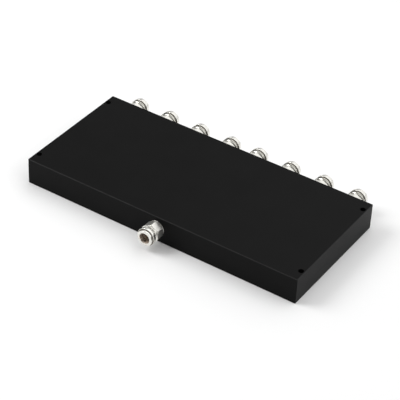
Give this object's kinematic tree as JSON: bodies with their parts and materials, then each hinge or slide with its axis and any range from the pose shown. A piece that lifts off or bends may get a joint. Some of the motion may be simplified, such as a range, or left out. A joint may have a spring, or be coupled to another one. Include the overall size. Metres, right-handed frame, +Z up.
{
  "type": "uhf combiner",
  "caption": "Flat black metal radio-frequency combiner box with a common threaded coaxial jack in front and a row of branch jacks behind.",
  "frame": {"origin": "middle of the housing's underside", "axes": "+X along the row of branch jacks, +Y from the common jack towards the branch jacks, +Z up"},
  "size_m": [0.26, 0.152, 0.024],
  "materials": {
    "black_anodised": "satin black anodised",
    "screw_steel": "plain steel",
    "nickel_plated_brass": "bright nickel plate",
    "white_insulator": "matt",
    "gilt_contact": "bright gilt",
    "board_laminate": "satin",
    "copper": "bright",
    "resistor": "matt"
  },
  "bodies": {
    "root": {"housing": "black_anodised", "base_cover": "black_anodised", "cover_screws": "screw_steel", "circuit_board": "board_laminate", "copper_tracks": "copper", "isolation_resistor_1": "resistor", "isolation_resistor_2": "resistor", "isolation_resistor_3": "resistor", "isolation_resistor_4": "resistor", "isolation_resistor_5": "resistor", "isolation_resistor_6": "resistor", "isolation_resistor_7": "resistor", "common_jack_body": "nickel_plated_brass", "common_jack_insulator": "white_insulator", "common_jack_contact": "gilt_contact", "branch_jack_1_body": "nickel_plated_brass", "branch_jack_2_body": "nickel_plated_brass", "branch_jack_3_body": "nickel_plated_brass", "branch_jack_4_body": "nickel_plated_brass", "branch_jack_5_body": "nickel_plated_brass", "branch_jack_6_body": "nickel_plated_brass", "branch_jack_7_body": "nickel_plated_brass", "branch_jack_8_body": "nickel_plated_brass"}
  },
  "joints": []
}
